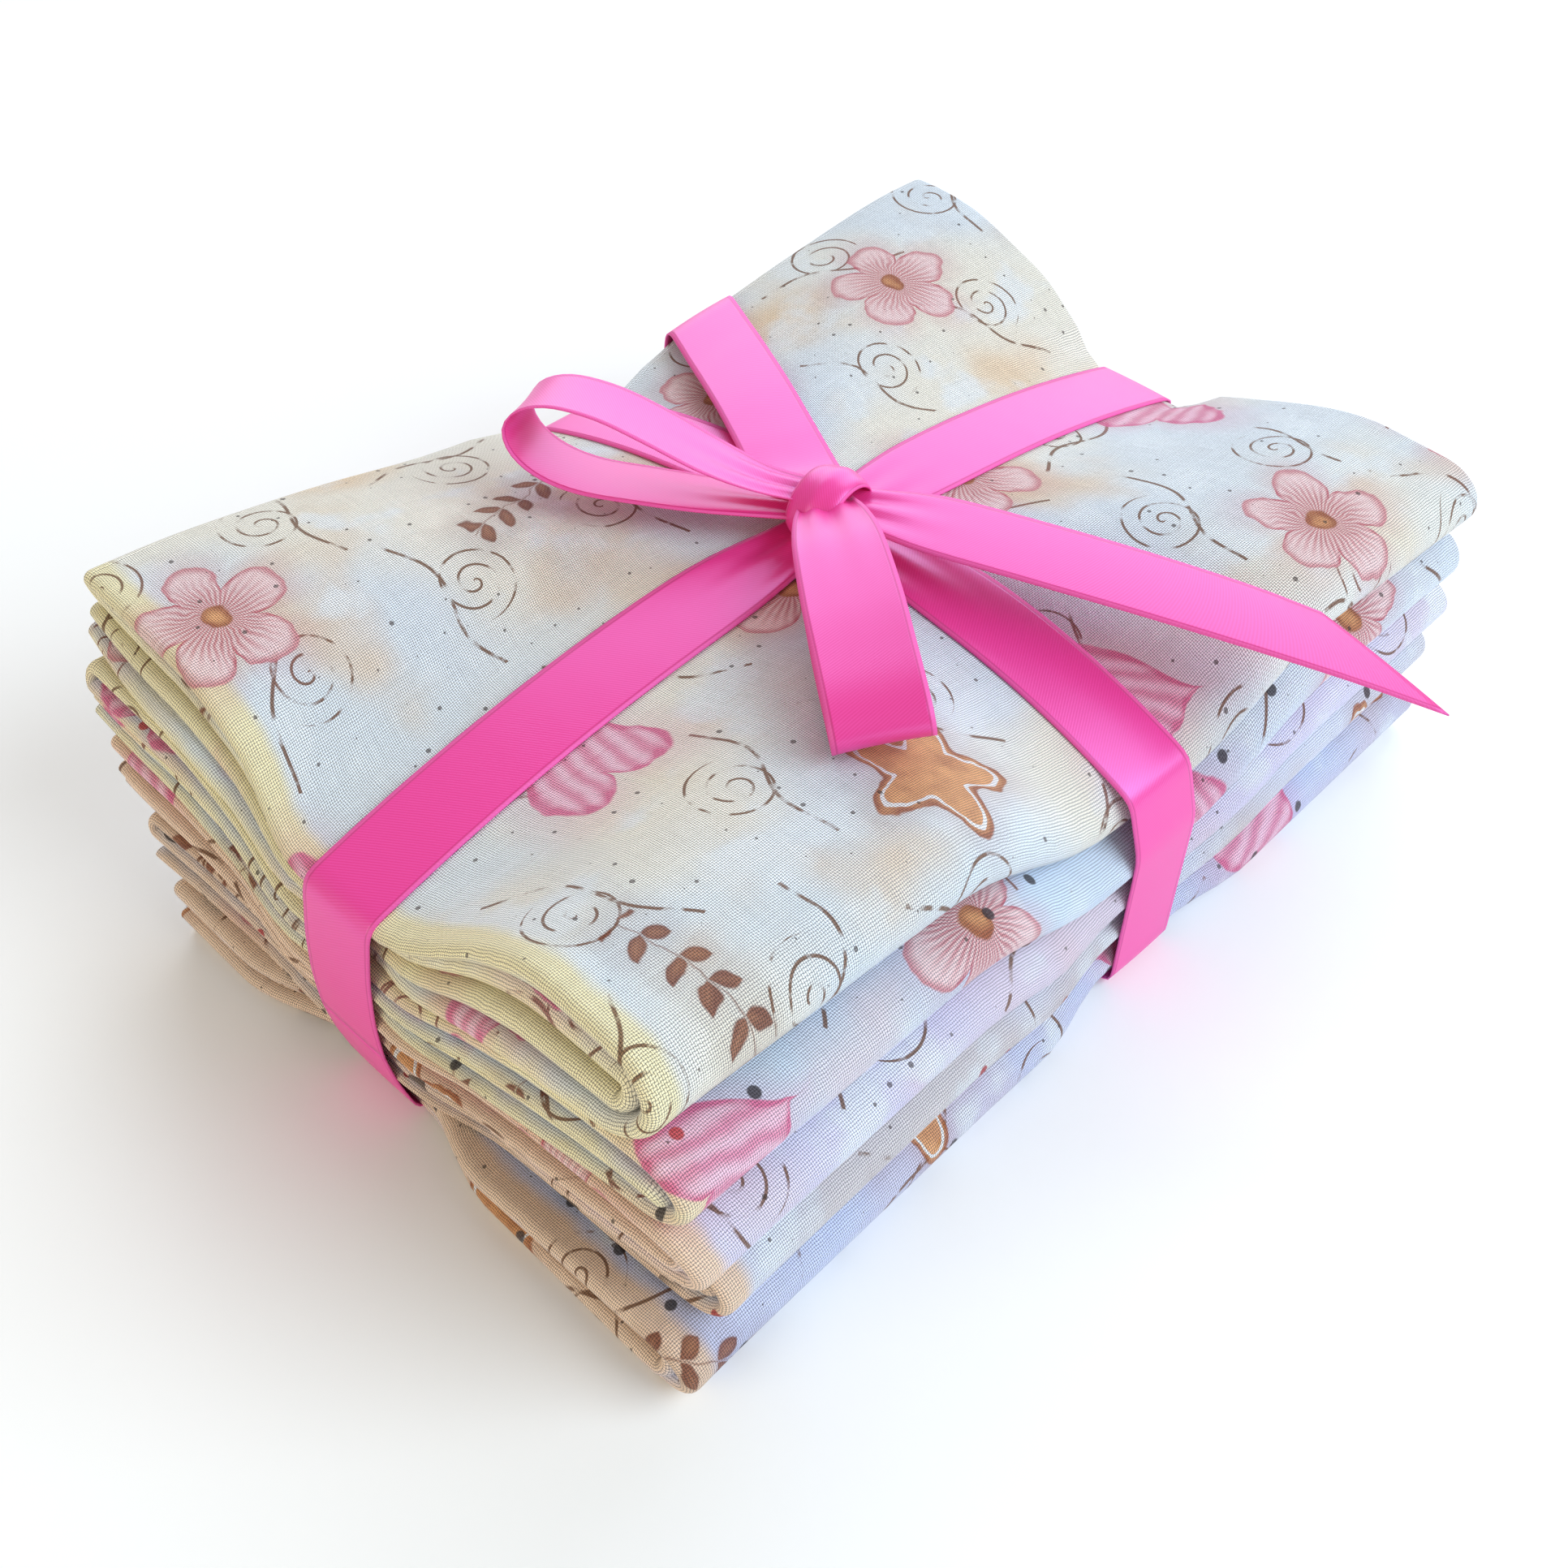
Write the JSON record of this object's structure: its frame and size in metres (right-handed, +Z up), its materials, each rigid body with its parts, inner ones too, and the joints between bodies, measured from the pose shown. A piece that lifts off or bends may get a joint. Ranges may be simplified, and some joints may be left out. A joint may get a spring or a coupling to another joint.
{
  "type": "fat quarter bundle",
  "caption": "Stack of folded printed cotton fat quarters for sewing and patchwork, tied both ways with a satin ribbon and a bow on top.",
  "frame": {"origin": "on the table, under the middle of the bundle's bounding box", "axes": "+X along the long side of the folded cloths, towards the right when the spines of the folds face the viewer; +Y from those spines to the loose ends at the back; +Z up"},
  "size_m": [0.2034, 0.1716, 0.0774],
  "materials": {
    "cotton_cloud_print": "matt plain weave, printed",
    "cotton_berry_print": "matt plain weave, printed",
    "cotton_lilac_print": "matt plain weave, printed",
    "cotton_stripe_print": "matt plain weave, printed",
    "cotton_cream_print": "matt plain weave, printed",
    "satin_ribbon": "glossy satin, matt on the back"
  },
  "bodies": {
    "root": {"fat_quarter_1": "cotton_cloud_print", "fat_quarter_2": "cotton_berry_print", "fat_quarter_3": "cotton_lilac_print", "fat_quarter_4": "cotton_stripe_print", "fat_quarter_5": "cotton_cream_print", "ribbon": "satin_ribbon"}
  },
  "joints": []
}
